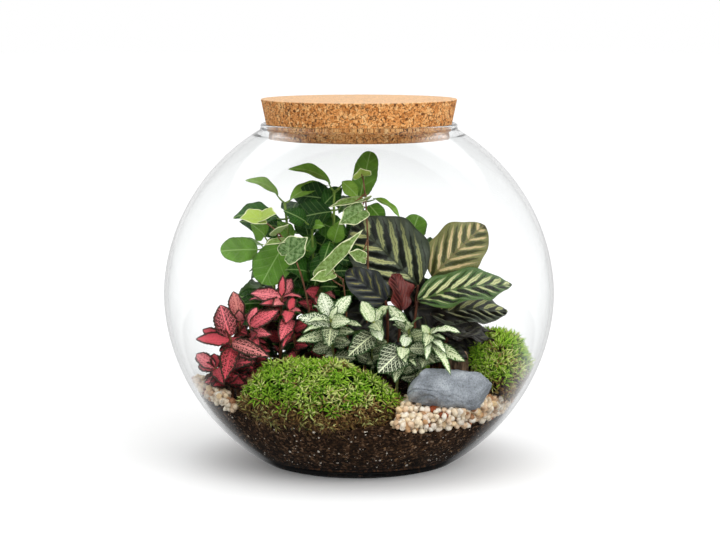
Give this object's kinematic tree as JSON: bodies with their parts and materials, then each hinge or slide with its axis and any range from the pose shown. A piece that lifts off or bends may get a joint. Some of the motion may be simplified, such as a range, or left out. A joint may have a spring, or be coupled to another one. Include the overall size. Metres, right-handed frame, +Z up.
{
  "type": "glass plant terrarium",
  "caption": "Closed glass globe with a tapered cork lid, planted over soil with small leafy plants, moss, pebbles, a slate stone and a bark chip.",
  "frame": {"origin": "centre of the glass foot, on the surface that the terrarium stands on", "axes": "+Z up along the globe's axis, -Y towards the planted front, +X to the right seen from the front"},
  "size_m": [0.3, 0.3, 0.2805],
  "materials": {
    "glass": "clear blown glass, polished",
    "cork": "pressed cork granules, sanded",
    "granules": "baked clay granules, matt",
    "soil": "moist potting soil with white perlite grains",
    "slate": "split blue-grey slate, worn smooth, dull",
    "bark": "weathered bark, rough",
    "moss": "living moss, soft tufts",
    "gravel": "washed river pebbles, cream, white, tan and pink",
    "red_leaf": "living leaf, satin, red with a dark net of veins",
    "white_leaf": "living leaf, satin, white with a fine green net",
    "coffee_leaf": "living leaf, glossy green",
    "ivy_leaf": "living leaf, satin, grey-green with a cream margin",
    "calathea_leaf": "living leaf, satin, dark green with yellow-green stripes"
  },
  "bodies": {
    "root": {"glass_bowl": "glass", "cork_lid": "cork", "drainage_granules": "granules", "soil": "soil", "slate_stone": "slate", "bark_chip": "bark", "moss_front": "moss", "moss_right": "moss", "gravel_right": "gravel", "gravel_left": "gravel", "red_fittonia_1": "red_leaf", "red_fittonia_2": "red_leaf", "red_fittonia_3": "red_leaf", "red_fittonia_4": "red_leaf", "red_fittonia_5": "red_leaf", "red_fittonia_6": "red_leaf", "red_fittonia_7": "red_leaf", "white_fittonia_1": "white_leaf", "white_fittonia_2": "white_leaf", "white_fittonia_3": "white_leaf", "white_fittonia_4": "white_leaf", "white_fittonia_5": "white_leaf", "coffee_seedling_1": "coffee_leaf", "coffee_seedling_2": "coffee_leaf", "coffee_seedling_3": "coffee_leaf", "coffee_seedling_4": "coffee_leaf", "coffee_seedling_5": "coffee_leaf", "coffee_seedling_6": "coffee_leaf", "coffee_seedling_7": "coffee_leaf", "ivy_stem_1": "ivy_leaf", "ivy_stem_2": "ivy_leaf", "ivy_stem_3": "ivy_leaf", "calathea_leaf_1": "calathea_leaf", "calathea_leaf_2": "calathea_leaf", "calathea_leaf_3": "calathea_leaf", "calathea_leaf_4": "calathea_leaf", "calathea_leaf_5": "calathea_leaf", "calathea_leaf_6": "calathea_leaf", "calathea_leaf_7": "calathea_leaf", "calathea_leaf_8": "calathea_leaf"}
  },
  "joints": []
}
